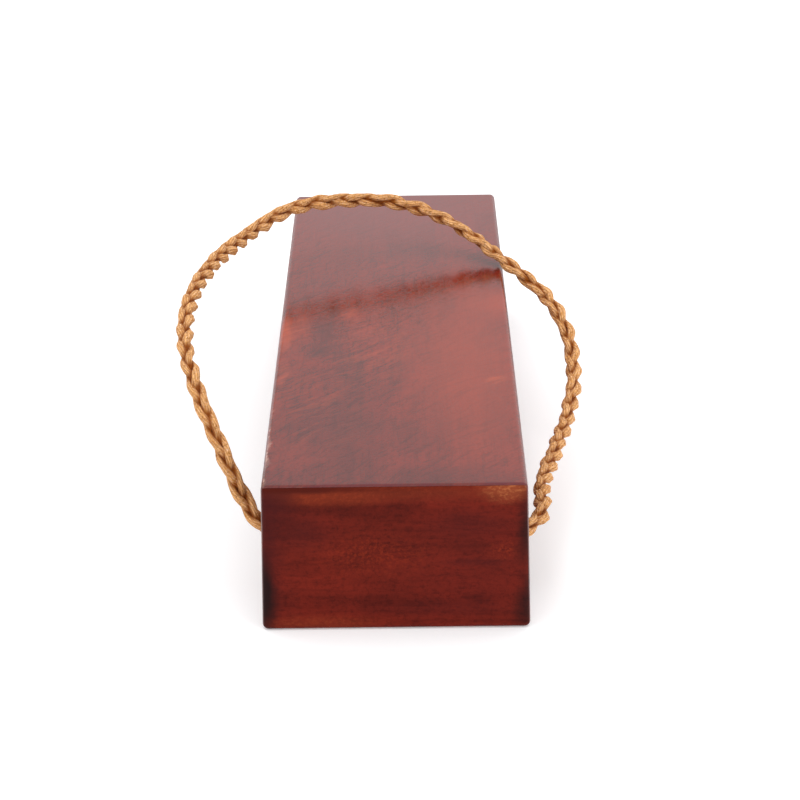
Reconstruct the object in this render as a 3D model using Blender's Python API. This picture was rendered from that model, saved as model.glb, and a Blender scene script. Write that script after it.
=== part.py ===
"""A hand-made box guiro: six mitred boards round a hollow, with a plaited cord handle.

The box lies flat with its length along Y and its scraping ridges underneath, so that the ridge
crests are at Z = 0. The handle end faces -Y. The cord leaves through a hole in each side wall near
that end and is held inside by a stopper knot, so the whole loop swings about the line through the
two holes.
"""

import math

import bmesh
import bpy
import numpy as np
from mathutils import Matrix, Vector

# The box, in metres.
BODY_LENGTH = 0.205
TOP_WIDTH = 0.065
BODY_HEIGHT = 0.0405
SIDE_FLARE = 0.0011  # each side wall stands this much further out at the bottom than at the top
EDGE_RADIUS = 0.0015
GLUE_LINE = 0.0003  # the gap at each mitre

# The boards' thicknesses.
BACK_THICKNESS = 0.006
RIDGED_THICKNESS = 0.008
SIDE_THICKNESS = 0.005
END_THICKNESS = 0.008

# The scraping ridges: half-round grooves across the underside.
RIDGE_PITCH = 0.005
RIDGE_FIELD_LENGTH = 0.140
GROOVE_WIDTH = 0.0038
GROOVE_DEPTH = 0.0018
GROOVE_SIDE_MARGIN = 0.0065  # from a groove's end to the box's side

# The sound slot in the left side wall.
SLOT_LENGTH = 0.110
SLOT_HEIGHT = 0.009
SLOT_CENTRE_Y = 0.010

# The cord, its stopper knots, and its holes, which are countersunk on the outside.
CORD_DIAMETER = 0.0042
CORD_SPACING = 0.0085  # between the points of the tube's line
MOUTH_SPACING = 0.0024  # the same, where the cord bends out of a hole
MOUTH_LENGTH = 0.012
HOLE_FROM_END = 0.015
HOLE_CLEARANCE = 0.0024  # how much wider a hole is than the cord
COUNTERSINK = 0.0018  # how far the mouth is wider than the hole all round, and how deep
KNOT_OVERHANG = 0.0038  # how much wider a knot is than its hole
KNOT_LENGTH = 0.0090
KNOT_GAP = 0.0003  # from the knot to the wall and to the cord's end

# The cord's line at rest, from inside the left hole to inside the right one, as offsets from the
# point midway between the two holes. It leans back over the box and lies on the right top edge.
CORD_ROUTE = (
    (-0.0288, 0.0000, 0.0000),
    (-0.0330, 0.0009, 0.0008),
    (-0.0358, 0.0031, 0.0029),
    (-0.0425, 0.0076, 0.0163),
    (-0.0486, 0.0161, 0.0278),
    (-0.0532, 0.0295, 0.0342),
    (-0.0553, 0.0448, 0.0368),
    (-0.0554, 0.0604, 0.0377),
    (-0.0539, 0.0760, 0.0377),
    (-0.0510, 0.0914, 0.0371),
    (-0.0465, 0.1064, 0.0363),
    (-0.0400, 0.1206, 0.0363),
    (-0.0298, 0.1323, 0.0377),
    (-0.0156, 0.1387, 0.0374),
    (-0.0003, 0.1412, 0.0355),
    (0.0144, 0.1388, 0.0313),
    (0.0266, 0.1311, 0.0254),
    (0.0370, 0.1205, 0.0203),
    (0.0464, 0.1097, 0.0142),
    (0.0510, 0.0973, 0.0059),
    (0.0507, 0.0829, 0.0001),
    (0.0480, 0.0676, -0.0020),
    (0.0445, 0.0524, -0.0018),
    (0.0411, 0.0371, -0.0008),
    (0.0380, 0.0218, 0.0000),
    (0.0366, 0.0062, 0.0000),
    (0.0338, 0.0017, 0.0000),
    (0.0288, 0.0000, 0.0000),
)

HOLE_DIAMETER = CORD_DIAMETER + HOLE_CLEARANCE
KNOT_DIAMETER = HOLE_DIAMETER + KNOT_OVERHANG
HOLE_Y = -BODY_LENGTH / 2 + HOLE_FROM_END
HOLE_Z = BODY_HEIGHT / 2
HALF_TOP = TOP_WIDTH / 2
HALF_BOTTOM = HALF_TOP + SIDE_FLARE
OVERCUT = 0.002  # how far a cutter runs past the surface that it cuts

# Colours as linear red, green, blue.
STAINED_TOP = (0.26, 0.068, 0.045)
STAINED_SIDE = (0.19, 0.042, 0.026)
STAINED_END = (0.15, 0.027, 0.016)
CORD_TAN = (0.56, 0.29, 0.10)


def side_x(z):
    """The right side's outer face, at a height."""
    return HALF_BOTTOM - SIDE_FLARE * z / BODY_HEIGHT


class Face:
    """One face of the box, as the plane normal . point = distance, and its board's thickness."""

    def __init__(self, normal, point, thickness):
        self.normal = Vector(normal).normalized()
        self.distance = self.normal.dot(Vector(point))
        self.thickness = thickness

    def mitre(self, other):
        """The plane where this board meets a neighbour, as a normal towards it and a distance.

        On it the depths below the two faces are the same share of the two thicknesses.
        """
        normal = other.normal / other.thickness - self.normal / self.thickness
        distance = other.distance / other.thickness - self.distance / self.thickness
        return normal.normalized(), distance / normal.length


LEAN = (BODY_HEIGHT, SIDE_FLARE)  # the right side's outward normal, in X and Z
FACES = {
    "back_board": Face((0, 0, 1), (0, 0, BODY_HEIGHT), BACK_THICKNESS),
    "ridged_board": Face((0, 0, -1), (0, 0, 0), RIDGED_THICKNESS),
    "left_side_wall": Face((-LEAN[0], 0, LEAN[1]), (-HALF_BOTTOM, 0, 0), SIDE_THICKNESS),
    "right_side_wall": Face((LEAN[0], 0, LEAN[1]), (HALF_BOTTOM, 0, 0), SIDE_THICKNESS),
    "handle_end_board": Face((0, -1, 0), (0, -BODY_LENGTH / 2, 0), END_THICKNESS),
    "far_end_board": Face((0, 1, 0), (0, BODY_LENGTH / 2, 0), END_THICKNESS),
}
INNER_X = side_x(HOLE_Z) - SIDE_THICKNESS  # the right side's inner face, at the hole


def clear_scene():
    for obj in list(bpy.data.objects):
        bpy.data.objects.remove(obj, do_unlink=True)


def empty(name, location):
    obj = bpy.data.objects.new(name, None)
    obj.location = location
    bpy.context.scene.collection.objects.link(obj)
    return obj


def material(name, colour, roughness):
    made = bpy.data.materials.new(name)
    made.use_nodes = True
    shader = made.node_tree.nodes["Principled BSDF"]
    shader.inputs["Base Color"].default_value = (*colour, 1.0)
    shader.inputs["Roughness"].default_value = roughness
    shader.inputs["Metallic"].default_value = 0.0
    return made


def finish_mesh(name, bm, parent, centre=None):
    """An object from the bmesh, with its origin at centre, or else in the middle of its box."""
    bmesh.ops.recalc_face_normals(bm, faces=bm.faces)
    if centre is None:
        low = Vector([min(v.co[k] for v in bm.verts) for k in range(3)])
        high = Vector([max(v.co[k] for v in bm.verts) for k in range(3)])
        centre = (low + high) / 2
    bmesh.ops.translate(bm, verts=bm.verts, vec=-Vector(centre))
    mesh = bpy.data.meshes.new(name)
    bm.to_mesh(mesh)
    bm.free()
    obj = bpy.data.objects.new(name, mesh)
    obj.parent = parent
    obj.location = Vector(centre) - parent.location
    bpy.context.scene.collection.objects.link(obj)
    return obj


def outer_block():
    """The whole box as one solid, with all its edges rounded."""
    bm = bmesh.new()
    corners = {}
    for x in (-1, 1):
        for y in (-1, 1):
            for z in (0, 1):
                half = HALF_TOP if z else HALF_BOTTOM
                corners[x, y, z] = bm.verts.new((x * half, y * BODY_LENGTH / 2, z * BODY_HEIGHT))
    for k in range(3):
        for level in sorted({key[k] for key in corners}):
            ring = sorted(
                (key for key in corners if key[k] == level),
                key=lambda key: math.atan2(key[(k + 2) % 3] - 0.5, key[(k + 1) % 3] - 0.5),
            )
            bm.faces.new([corners[key] for key in ring])
    bmesh.ops.recalc_face_normals(bm, faces=bm.faces)
    bmesh.ops.bevel(
        bm,
        geom=list(bm.edges),
        offset=EDGE_RADIUS,
        offset_type="OFFSET",
        segments=3,
        profile=0.5,
        affect="EDGES",
    )
    return bm


def cut(bm, normal, distance):
    """Takes away what lies past the plane, and closes the solid with a flat face."""
    bmesh.ops.bisect_plane(
        bm,
        geom=[*bm.verts, *bm.edges, *bm.faces],
        dist=1e-7,
        plane_co=normal * distance,
        plane_no=normal,
        clear_outer=True,
    )
    open_edges = [edge for edge in bm.edges if edge.is_boundary]
    bmesh.ops.holes_fill(bm, edges=open_edges, sides=0)


def board(name, parent):
    """One board: what the outer block holds of it, between its inner face and four mitres."""
    face = FACES[name]
    bm = outer_block()
    cut(bm, -face.normal, face.thickness - face.distance)
    for other in FACES.values():
        if abs(face.normal.dot(other.normal)) < 0.5:
            normal, distance = face.mitre(other)
            cut(bm, normal, distance - GLUE_LINE / 2)
    return finish_mesh(name, bm, parent)


def prism(bm, outline, start, end):
    """A closed prism along X, from an outline of (y, z) points."""
    ends = [[bm.verts.new((x, y, z)) for y, z in outline] for x in (start, end)]
    for first, second in zip(range(len(outline)), [*range(1, len(outline)), 0]):
        bm.faces.new([ends[0][first], ends[0][second], ends[1][second], ends[1][first]])
    bm.faces.new(ends[0])
    bm.faces.new(ends[1])


def subtract(obj, name, bm, parent):
    """Cuts the bmesh's solids out of the object, with a modifier and a hidden cutter."""
    cutter = finish_mesh(name, bm, parent, centre=parent.location)
    cutter.hide_render = True
    cutter.display_type = "WIRE"
    modifier = obj.modifiers.new(name, "BOOLEAN")
    modifier.operation = "DIFFERENCE"
    modifier.solver = "EXACT"
    modifier.object = cutter


def groove_cutters():
    """The half-round grooves between the ridges, side by side along the underside."""
    bm = bmesh.new()
    radius = ((GROOVE_WIDTH / 2) ** 2 + GROOVE_DEPTH**2) / (2 * GROOVE_DEPTH)
    reach = math.asin(GROOVE_WIDTH / 2 / radius)
    steps = 8
    arc = [-reach + 2 * reach * i / steps for i in range(steps + 1)]
    half_length = HALF_BOTTOM - GROOVE_SIDE_MARGIN
    count = int(RIDGE_FIELD_LENGTH / RIDGE_PITCH)
    for i in range(count):
        middle = (i - (count - 1) / 2) * RIDGE_PITCH
        outline = [
            (middle + radius * math.sin(a), GROOVE_DEPTH - radius + radius * math.cos(a))
            for a in arc
        ]
        outline += [(outline[-1][0], -OVERCUT), (outline[0][0], -OVERCUT)]
        prism(bm, outline, -half_length, half_length)
    return bm


def slot_cutter():
    """The sound slot: a long hole with round ends, through the left wall."""
    bm = bmesh.new()
    radius = SLOT_HEIGHT / 2
    steps = 10
    outline = []
    for side in (1, -1):
        for i in range(steps + 1):
            angle = math.pi * (i / steps - 0.5)
            along = SLOT_LENGTH / 2 - radius + radius * math.cos(angle)
            outline.append(
                (SLOT_CENTRE_Y + side * along, HOLE_Z + side * radius * math.sin(angle))
            )
    prism(bm, outline, -HALF_BOTTOM - OVERCUT, -HALF_TOP + SIDE_THICKNESS + OVERCUT)
    return bm


def turned(profile, side, steps):
    """A solid turned about the X axis through the holes, from (x, radius) points."""
    bm = bmesh.new()
    chain = [bm.verts.new((side * x, r, 0)) for x, r in profile]
    edges = [bm.edges.new(pair) for pair in zip(chain, chain[1:])]
    bmesh.ops.spin(
        bm,
        geom=[*chain, *edges],
        cent=(0, 0, 0),
        axis=(1, 0, 0),
        angle=2 * math.pi,
        steps=steps,
        use_duplicate=False,
    )
    bmesh.ops.remove_doubles(bm, verts=bm.verts, dist=1e-6)
    bmesh.ops.translate(bm, verts=bm.verts, vec=(0, HOLE_Y, HOLE_Z))
    return bm


def hole_cutter(side):
    """A cord hole with its countersunk mouth."""
    outer = side_x(HOLE_Z)
    radius = HOLE_DIAMETER / 2
    profile = [
        (INNER_X - OVERCUT, 0),
        (INNER_X - OVERCUT, radius),
        (outer - COUNTERSINK, radius),
        (outer + OVERCUT, radius + COUNTERSINK + OVERCUT),
        (outer + OVERCUT, 0),
    ]
    return turned(profile, side, 24)


def knot(name, side, parent):
    """A stopper knot inside the wall, drawn up round: flat where it bears on the wall."""
    outer = INNER_X - KNOT_GAP
    middle = outer - KNOT_LENGTH / 2
    flat = 0.8  # how much of the half length the turned ball keeps at its two ends
    angles = [math.asin(flat) * (1 - i / 4) for i in range(9)]
    ball = [
        (middle + KNOT_LENGTH / 2 * math.sin(a) / flat, KNOT_DIAMETER / 2 * math.cos(a))
        for a in angles
    ]
    bm = turned([(ball[0][0], 0), *ball, (ball[-1][0], 0)], side, 20)
    return finish_mesh(name, bm, parent, centre=(side * middle, HOLE_Y, HOLE_Z))


def smooth_line(points):
    """The cubic spline through the points, leaving the first and reaching the last along X.

    It gives the spline's length and a function from the distance along it to a place.
    """
    points = np.array(points)
    gaps = np.linalg.norm(np.diff(points, axis=0), axis=1)
    at = np.concatenate([[0], np.cumsum(gaps)])
    count = len(points)
    ends = (np.array([-1.0, 0, 0]), np.array([-1.0, 0, 0]))
    slopes = np.diff(points, axis=0) / gaps[:, None]
    system = np.zeros((count, count))
    right = np.zeros_like(points)
    for i in range(1, count - 1):
        system[i, i - 1 : i + 2] = gaps[i - 1], 2 * (gaps[i - 1] + gaps[i]), gaps[i]
        right[i] = 6 * (slopes[i] - slopes[i - 1])
    system[0, :2] = 2 * gaps[0], gaps[0]
    right[0] = 6 * (slopes[0] - ends[0])
    system[-1, -2:] = gaps[-1], 2 * gaps[-1]
    right[-1] = 6 * (ends[1] - slopes[-1])
    second = np.linalg.solve(system, right)

    def place(distance):
        i = min(int(np.searchsorted(at, distance, side="right")) - 1, count - 2)
        u = (distance - at[i]) / gaps[i]
        straight = (1 - u) * points[i] + u * points[i + 1]
        bend = ((1 - u) ** 3 - (1 - u)) * second[i] + (u**3 - u) * second[i + 1]
        return straight + bend * gaps[i] ** 2 / 6

    return at[-1], place


def cord_line():
    """The points of the tube: closer together at the two mouths, and straight inside the walls."""
    length, place = smooth_line(CORD_ROUTE)
    mouth = np.linspace(0, MOUTH_LENGTH, math.ceil(MOUTH_LENGTH / MOUTH_SPACING) + 1)
    free = length - 2 * MOUTH_LENGTH
    between = np.linspace(0, free, math.ceil(free / CORD_SPACING) + 1)[1:-1] + MOUTH_LENGTH
    stations = [*mouth, *between, *(length - mouth[::-1])]
    return [(-INNER_X, 0, 0), *(place(s) for s in stations), (INNER_X, 0, 0)]


def cord(name, parent):
    """The plaited cord, as a plain tube from one wall's inner face to the other's."""
    data = bpy.data.curves.new(name, "CURVE")
    data.dimensions = "3D"
    data.bevel_depth = CORD_DIAMETER / 2
    data.bevel_resolution = 2
    data.use_fill_caps = True
    line = cord_line()
    spline = data.splines.new("POLY")
    spline.points.add(len(line) - 1)
    for point, place in zip(spline.points, line):
        point.co = (*place, 1.0)
    obj = bpy.data.objects.new(name, data)
    obj.parent = parent
    bpy.context.scene.collection.objects.link(obj)
    return obj


def shade(obj, made, smooth_angle=None):
    obj.data.materials.append(made)
    if smooth_angle is not None:
        obj.data.shade_smooth()
        obj.data.set_sharp_from_angle(angle=smooth_angle)


def build():
    clear_scene()
    box = empty("box_frame", (0, 0, 0))
    pivot = empty("handle_pivot", (0, HOLE_Y, HOLE_Z))
    top = material("stained_back", STAINED_TOP, 0.38)
    side = material("stained_sides", STAINED_SIDE, 0.42)
    end = material("stained_ends", STAINED_END, 0.42)
    tan = material("plaited_cord", CORD_TAN, 0.85)
    looks = {"back_board": top, "handle_end_board": end, "far_end_board": end}

    boards = {name: board(name, box) for name in FACES}
    subtract(boards["ridged_board"], "groove_cutters", groove_cutters(), box)
    subtract(boards["left_side_wall"], "slot_cutter", slot_cutter(), box)
    subtract(boards["left_side_wall"], "left_hole_cutter", hole_cutter(-1), box)
    subtract(boards["right_side_wall"], "right_hole_cutter", hole_cutter(1), box)
    for name, obj in boards.items():
        shade(obj, looks.get(name, side))

    round_off = math.radians(40)
    shade(cord("rope_handle", pivot), tan)
    shade(knot("left_knot", -1, pivot), tan, round_off)
    shade(knot("right_knot", 1, pivot), tan, round_off)


build()
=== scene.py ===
"""The looks of a hand-made box guiro with a plaited cord handle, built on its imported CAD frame.

Everything is in metres and in the frame of the CAD: the box lies flat with its length along Y and
its ridges underneath, and its handle end faces -Y.
"""

import itertools
import math
from typing import NamedTuple

import bmesh
import bpy
import numpy as np
from mathutils import Matrix, Vector, noise


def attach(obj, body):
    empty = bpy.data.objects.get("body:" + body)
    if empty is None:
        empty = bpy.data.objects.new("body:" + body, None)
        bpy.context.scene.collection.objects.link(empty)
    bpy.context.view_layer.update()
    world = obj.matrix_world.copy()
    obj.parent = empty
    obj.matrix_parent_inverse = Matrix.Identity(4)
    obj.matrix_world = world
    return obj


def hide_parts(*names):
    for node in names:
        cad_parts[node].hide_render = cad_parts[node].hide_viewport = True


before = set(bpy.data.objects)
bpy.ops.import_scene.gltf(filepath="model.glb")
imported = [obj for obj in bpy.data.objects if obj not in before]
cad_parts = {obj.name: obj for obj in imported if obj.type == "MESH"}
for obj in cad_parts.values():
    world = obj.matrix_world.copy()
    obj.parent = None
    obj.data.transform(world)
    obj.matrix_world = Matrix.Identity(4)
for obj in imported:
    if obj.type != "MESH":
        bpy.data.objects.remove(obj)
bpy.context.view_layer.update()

# The box, as in the CAD.
BODY_LENGTH = 0.205
TOP_WIDTH = 0.065
BODY_HEIGHT = 0.0405
SIDE_FLARE = 0.0011
EDGE_RADIUS = 0.0015
BACK_THICKNESS = 0.006
RIDGED_THICKNESS = 0.008
SIDE_THICKNESS = 0.005
END_THICKNESS = 0.008

# The scraping ridges.
RIDGE_PITCH = 0.005
RIDGE_FIELD_LENGTH = 0.140
GROOVE_WIDTH = 0.0038
GROOVE_DEPTH = 0.0018
GROOVE_SIDE_MARGIN = 0.0065
GROOVE_RUN_OUT = 0.0035  # the length over which a groove rises to the surface at each end
CREST_ROUNDING = 0.0004
SHOULDER_OUT = 0.25  # the crest's easing half way up: shares of its rounding and of the wall
SHOULDER_DROP = 0.30
GROOVE_ARC_SHARE = 0.86  # how much of a groove's full arc is round, below its eased crests
GROOVE_ARC_STEPS = 12
GROOVE_LEAST_DEPTH = 0.02  # at its very ends, as a share of its depth
RUN_OUT_STEPS = 6

# The sound slot.
SLOT_LENGTH = 0.110
SLOT_HEIGHT = 0.009
SLOT_CENTRE_Y = 0.010
SLOT_ROUNDING = 0.0007
SLOT_END_STEPS = 16
SLOT_RIM_STEPS = 5

# The cord, its knots and its holes.
CORD_DIAMETER = 0.0042
HOLE_FROM_END = 0.015
HOLE_CLEARANCE = 0.0024
COUNTERSINK = 0.0018
HOLE_SIDES = 40
MOUTH_STEPS = 6
KNOT_OVERHANG = 0.0038
KNOT_LENGTH = 0.0090
KNOT_GAP = 0.0003
KNOT_CORD_SCALE = 0.80  # a knot's cord is drawn tight, so it is this much thinner
KNOT_PITCH = 0.0184  # one strand's full turn through the knot's plait
KNOT_STEPS = 240

# The cord's line at rest, as offsets from the point midway between the two holes.
CORD_ROUTE = (
    (-0.0288, 0.0000, 0.0000),
    (-0.0330, 0.0009, 0.0008),
    (-0.0358, 0.0031, 0.0029),
    (-0.0425, 0.0076, 0.0163),
    (-0.0486, 0.0161, 0.0278),
    (-0.0532, 0.0295, 0.0342),
    (-0.0553, 0.0448, 0.0368),
    (-0.0554, 0.0604, 0.0377),
    (-0.0539, 0.0760, 0.0377),
    (-0.0510, 0.0914, 0.0371),
    (-0.0465, 0.1064, 0.0363),
    (-0.0400, 0.1206, 0.0363),
    (-0.0298, 0.1323, 0.0377),
    (-0.0156, 0.1387, 0.0374),
    (-0.0003, 0.1412, 0.0355),
    (0.0144, 0.1388, 0.0313),
    (0.0266, 0.1311, 0.0254),
    (0.0370, 0.1205, 0.0203),
    (0.0464, 0.1097, 0.0142),
    (0.0510, 0.0973, 0.0059),
    (0.0507, 0.0829, 0.0001),
    (0.0480, 0.0676, -0.0020),
    (0.0445, 0.0524, -0.0018),
    (0.0411, 0.0371, -0.0008),
    (0.0380, 0.0218, 0.0000),
    (0.0366, 0.0062, 0.0000),
    (0.0338, 0.0017, 0.0000),
    (0.0288, 0.0000, 0.0000),
)

# The plait: three strands that weave along a figure of eight across the cord's line.
PLAIT_HALF_WIDTH = 0.00114
PLAIT_HALF_DEPTH = 0.00074
PLAIT_LEAN = 0.00034  # how far the strands reach over to the side that the plait leans to
PLAIT_STEP = 0.00044  # between a strand's rings
STRAND_RADIUS = 0.00110
STRAND_SWELL = 0.26  # how much thicker a strand is on that side, as a share of its radius
STRAND_SWELL_LOSS = 0.12  # the part of the swell that it loses all along
STRAND_SIDES = 24
STRAND_BUNDLES = 5
BUNDLE_RELIEF = 0.07  # the bundles' bulge, as a share of the strand's radius
BUNDLE_TWIST = 170.0  # radians per metre
UNEVEN_SIZE = 0.13  # a strand's change of radius, as a share of it
UNEVEN_PLACE = 0.00020  # a strand's wander from its own line
UNEVEN_SPACING = 0.0033
OUT_SEED = 10  # the first of three seeds, one for each strand
SIDE_SEED = 20
SIZE_SEED = 30
LINE_POINTS = 1600  # along the cord's line
PATH_STEP = 0.004  # between the points taken along the cord's line
# How many turns the strands have made at metres along the cord, so that they bulge where the
# photograph's do.
PLAIT_WEAVE = (
    (0.0, 0.0),
    (0.0594, 2.583),
    (0.0851, 3.583),
    (0.1101, 4.583),
    (0.1321, 5.583),
    (0.1530, 6.583),
    (0.2622, 11.250),
    (0.2838, 12.250),
    (0.3064, 13.250),
    (0.3303, 14.250),
    (0.3543, 15.250),
    (0.3684, 15.917),
    (0.3814, 16.490),
)
# How far the plait's flat side has turned about the cord, and how much the plait leans to one
# side, the inside of the loop's left half and the outside of its right half, both at shares of
# the cord's length.
PLAIT_TURNS = (
    (0.0, 0.0),
    (0.14, 0.0),
    (0.24, 0.25),
    (0.50, 0.25),
    (0.66, 2.9),
    (1.0, 2.9),
)
PLAIT_LEANS = (
    (0.0, 0.0),
    (0.14, 0.1),
    (0.22, 1.0),
    (0.42, 1.0),
    (0.50, 0.2),
    (0.62, 0.2),
    (0.70, 1.0),
    (1.0, 1.0),
)
PLAIT_FACING = (0.0, -0.90, 0.43)  # where the flat side faces, before it turns

# How the boards are rounded and worn.
ROUND_SEGMENTS = 8
BOARD_GAP = 0.00005
WEAR_STEP = 0.0032  # between the loops of edges that the wear moves
WEAR_DEPTH = 0.00007
BROAD_WEAR = 130  # changes of the wear per metre
FINE_WEAR = 420
FINE_WEAR_SHARE = 0.4
WEAR_PULL = Vector((3, 1, 4))  # makes the wear go in across the box as well as along it
FLAT_ANGLE = math.radians(32)  # edges sharper than this stay sharp

# The camera: 36 mm wide film.
LENS = 96.08
CAMERA_PLACE = Vector((0.00422, -0.55977, 0.28260))
CAMERA_YAW = math.radians(-0.316)
CAMERA_PITCH = math.radians(25.586)
CAMERA_ROLL = math.radians(-0.838)
CAMERA_NEAREST = 0.01

HOLE_DIAMETER = CORD_DIAMETER + HOLE_CLEARANCE
KNOT_DIAMETER = HOLE_DIAMETER + KNOT_OVERHANG
HALF_LENGTH = BODY_LENGTH / 2
HALF_TOP = TOP_WIDTH / 2
HALF_BOTTOM = HALF_TOP + SIDE_FLARE
HOLE_Y = -HALF_LENGTH + HOLE_FROM_END
HOLE_Z = BODY_HEIGHT / 2
OVERCUT = 0.002  # how far a cutter reaches past what it cuts
CUT_TOLERANCE = 1e-7


def side_x(z):
    """The right side's outer face, at a height."""
    return HALF_BOTTOM - SIDE_FLARE * z / BODY_HEIGHT


INNER_X = side_x(HOLE_Z) - SIDE_THICKNESS


# ---------------------------------------------------------------- mesh helpers


def new_object(name, mesh):
    """An object of the scene with the mesh."""
    obj = bpy.data.objects.new(name, mesh)
    bpy.context.scene.collection.objects.link(obj)
    return obj


def from_bmesh(name, bm):
    """An object with the bmesh's faces, turned outwards. The bmesh is used up."""
    bmesh.ops.recalc_face_normals(bm, faces=bm.faces)
    mesh = bpy.data.meshes.new(name)
    bm.to_mesh(mesh)
    bm.free()
    return new_object(name, mesh)


def bake_modifiers(obj):
    """Puts what the modifiers make into the object's own mesh."""
    evaluated = obj.evaluated_get(bpy.context.evaluated_depsgraph_get())
    mesh = bpy.data.meshes.new_from_object(evaluated)
    obj.modifiers.clear()
    obj.data = mesh


def subtract(obj, bm):
    """Cuts the bmesh's solids out of the object."""
    cutter = from_bmesh("cutter", bm)
    modifier = obj.modifiers.new("cut", "BOOLEAN")
    modifier.operation = "DIFFERENCE"
    modifier.solver = "EXACT"
    modifier.object = cutter
    bake_modifiers(obj)
    bpy.data.objects.remove(cutter, do_unlink=True)


def smooth(obj, angle):
    """Smooth shading in which the flat faces stay flat and edges past the angle stay sharp."""
    obj.data.shade_smooth()
    obj.data.set_sharp_from_angle(angle=angle)
    weighted = obj.modifiers.new("weighted", "WEIGHTED_NORMAL")
    weighted.keep_sharp = True
    weighted.weight = 100
    bake_modifiers(obj)


def loft(bm, rings):
    """A closed solid through rings of points, each with as many points as the others."""
    made = [[bm.verts.new(point) for point in ring] for ring in rings]
    count = len(made[0])
    for near, far in zip(made, made[1:]):
        for i in range(count):
            j = (i + 1) % count
            bm.faces.new((near[i], near[j], far[j], far[i]))
    bm.faces.new(made[0])
    bm.faces.new(made[-1])


# ---------------------------------------------------------------- the six boards


class Face:
    """One face of the box, as the plane normal . point = distance, and its board's thickness."""

    def __init__(self, normal, point, thickness):
        self.normal = Vector(normal).normalized()
        self.distance = self.normal.dot(Vector(point))
        self.thickness = thickness

    def mitre(self, other):
        """The plane where this board meets a neighbour, as a normal towards it and a distance."""
        normal = other.normal / other.thickness - self.normal / self.thickness
        distance = other.distance / other.thickness - self.distance / self.thickness
        return normal.normalized(), distance / normal.length


LEAN = (BODY_HEIGHT, SIDE_FLARE)
FACES = {
    "back_board": Face((0, 0, 1), (0, 0, BODY_HEIGHT), BACK_THICKNESS),
    "ridged_board": Face((0, 0, -1), (0, 0, 0), RIDGED_THICKNESS),
    "left_side_wall": Face((-LEAN[0], 0, LEAN[1]), (-HALF_BOTTOM, 0, 0), SIDE_THICKNESS),
    "right_side_wall": Face((LEAN[0], 0, LEAN[1]), (HALF_BOTTOM, 0, 0), SIDE_THICKNESS),
    "handle_end_board": Face((0, -1, 0), (0, -HALF_LENGTH, 0), END_THICKNESS),
    "far_end_board": Face((0, 1, 0), (0, HALF_LENGTH, 0), END_THICKNESS),
}


def outer_block():
    """The whole box as one solid, with all its edges rounded."""
    bm = bmesh.new()
    corners = {}
    for x, y, z in itertools.product((-1, 1), (-1, 1), (0, 1)):
        half = HALF_TOP if z else HALF_BOTTOM
        corners[x, y, z] = bm.verts.new((x * half, y * HALF_LENGTH, z * BODY_HEIGHT))
    for k in range(3):
        for level in sorted({key[k] for key in corners}):
            ring = sorted(
                (key for key in corners if key[k] == level),
                key=lambda key: math.atan2(key[(k + 2) % 3] - 0.5, key[(k + 1) % 3] - 0.5),
            )
            bm.faces.new([corners[key] for key in ring])
    bmesh.ops.recalc_face_normals(bm, faces=bm.faces)
    bmesh.ops.bevel(
        bm,
        geom=list(bm.edges),
        offset=EDGE_RADIUS,
        offset_type="OFFSET",
        segments=ROUND_SEGMENTS,
        profile=0.5,
        affect="EDGES",
    )
    return bm


def slice_block(bm):
    """Adds loops of edges across the block, so that its long edges can be worn unevenly."""
    spans = (
        (Vector((0, 1, 0)), -HALF_LENGTH, HALF_LENGTH),
        (Vector((1, 0, 0)), -HALF_TOP, HALF_TOP),
        (Vector((0, 0, 1)), 0, BODY_HEIGHT),
    )
    for axis, low, high in spans:
        inner_low = low + 2 * EDGE_RADIUS
        inner_high = high - 2 * EDGE_RADIUS
        count = math.ceil((inner_high - inner_low) / WEAR_STEP)
        for i in range(count + 1):
            at = inner_low + (inner_high - inner_low) * i / count
            bmesh.ops.bisect_plane(
                bm,
                geom=[*bm.verts, *bm.edges, *bm.faces],
                dist=CUT_TOLERANCE,
                plane_co=axis * at,
                plane_no=axis,
            )


def wear_edges(bm):
    """Pushes the rounded edges in by small uneven amounts."""
    centre = Vector((0, 0, BODY_HEIGHT / 2))
    for vert in bm.verts:
        below_faces = (
            side_x(vert.co.z) - abs(vert.co.x),
            HALF_LENGTH - abs(vert.co.y),
            BODY_HEIGHT / 2 - abs(vert.co.z - BODY_HEIGHT / 2),
        )
        from_edge = sorted(below_faces)[1]
        nearness = max(0.0, 1 - from_edge / EDGE_RADIUS)
        if nearness > 0:
            rub = 0.5 + 0.5 * noise.noise(vert.co * BROAD_WEAR)
            rub += FINE_WEAR_SHARE * noise.noise(vert.co * FINE_WEAR)
            inwards = (centre - vert.co) * WEAR_PULL
            vert.co += inwards.normalized() * WEAR_DEPTH * nearness * max(0.0, rub)


def cut(bm, normal, distance):
    """Takes away what lies past the plane, and closes the solid with a flat face."""
    bmesh.ops.bisect_plane(
        bm,
        geom=[*bm.verts, *bm.edges, *bm.faces],
        dist=CUT_TOLERANCE,
        plane_co=normal * distance,
        plane_no=normal,
        clear_outer=True,
    )
    open_edges = [edge for edge in bm.edges if edge.is_boundary]
    bmesh.ops.holes_fill(bm, edges=open_edges, sides=0)


def board(name, block):
    """One board: what the block holds of it, between its inner face and four mitres."""
    face = FACES[name]
    bm = block.copy()
    cut(bm, -face.normal, face.thickness - face.distance)
    for other in FACES.values():
        meets = abs(face.normal.dot(other.normal)) < 0.5
        if meets:
            normal, distance = face.mitre(other)
            cut(bm, normal, distance - BOARD_GAP / 2)
    return from_bmesh(name + "_looks", bm)


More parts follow.
